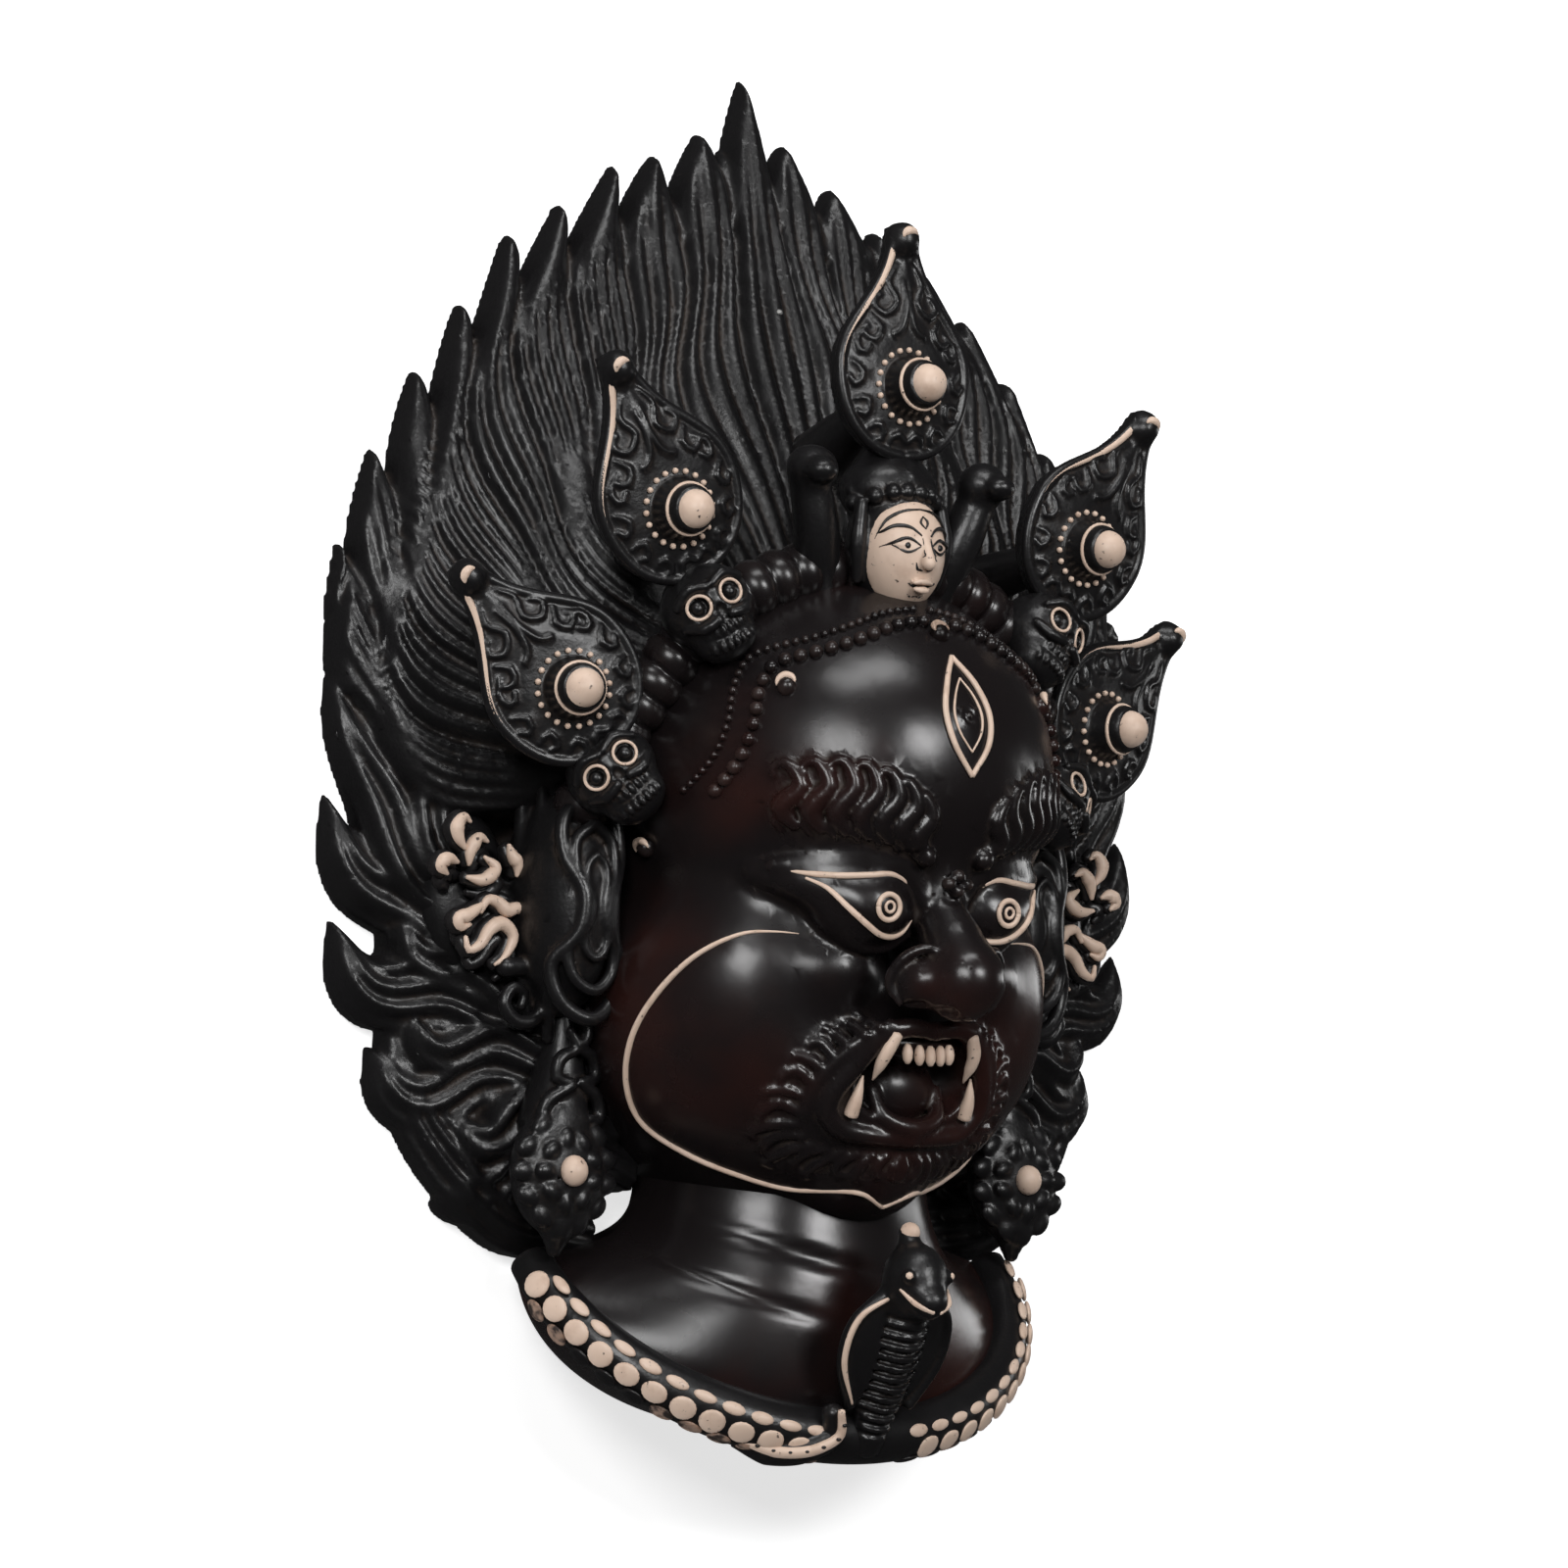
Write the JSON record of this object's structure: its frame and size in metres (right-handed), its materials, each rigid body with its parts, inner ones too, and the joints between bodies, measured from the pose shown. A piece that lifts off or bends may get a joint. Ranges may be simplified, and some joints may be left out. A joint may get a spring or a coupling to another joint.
{
  "type": "wall mask",
  "caption": "Wall mask of a wrathful guardian with a fan of flame hair, a crown of leaves and skulls, earrings and a snake collar, hollow behind and hung by a screw.",
  "frame": {"origin": "middle of the footprint of the mask lying on its flat back, at the floor", "axes": "+Z out of the face, +Y to the top of the flame hair, +X to the viewer's right"},
  "size_m": [0.2486, 0.357, 0.1075],
  "materials": {
    "dark_resin": "near-black brown resin, polished on the face and satin on the hair",
    "cream_resin": "cream ground left bare on raised details, rubbed brown at its edges",
    "hanger_steel": "plain steel screw"
  },
  "bodies": {
    "root": {"mask": "dark_resin", "hanger_screw": "hanger_steel"}
  },
  "joints": []
}
